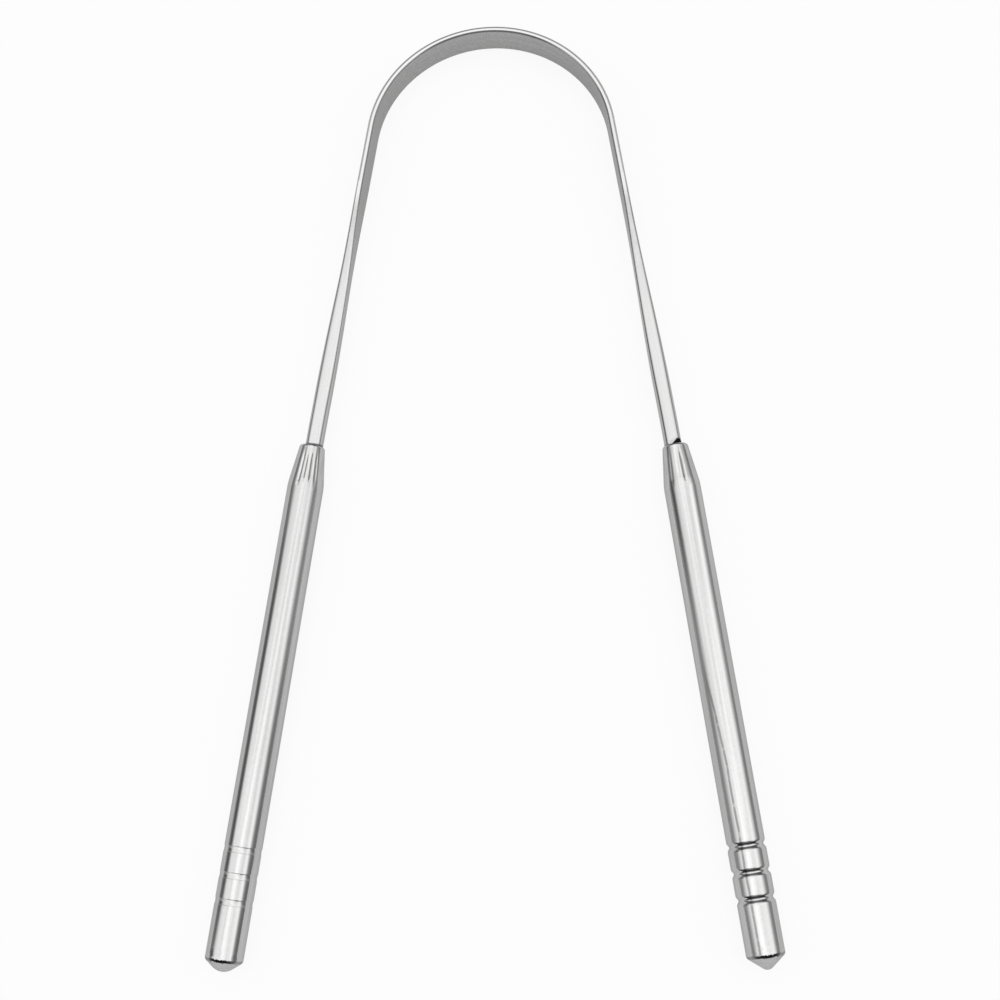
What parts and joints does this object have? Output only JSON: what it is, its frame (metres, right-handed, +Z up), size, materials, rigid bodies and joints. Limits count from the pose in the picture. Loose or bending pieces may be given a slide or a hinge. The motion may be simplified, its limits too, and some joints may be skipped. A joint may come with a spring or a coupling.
{
  "type": "tongue scraper",
  "caption": "U-shaped steel tongue scraper: a wire bow rolled flat to a blade at the arch, with a grooved thin-walled tube crimped on each end as a handle.",
  "frame": {"origin": "under the middle of the whole part, on the surface it lies on", "axes": "+Y toward the arch with the blade, -Y toward the closed ends of the handles, +X toward the right handle seen from above, +Z up, square to the plane of the U"},
  "size_m": [0.0892, 0.1597, 0.006],
  "materials": {
    "bow_steel": "stainless steel wire, ground and polished, with fine lines along it",
    "handle_steel": "drawn stainless steel tube, polished, with faint lines along it"
  },
  "bodies": {
    "root": {"scraper_bow": "bow_steel", "left_handle": "handle_steel", "right_handle": "handle_steel"}
  },
  "joints": []
}
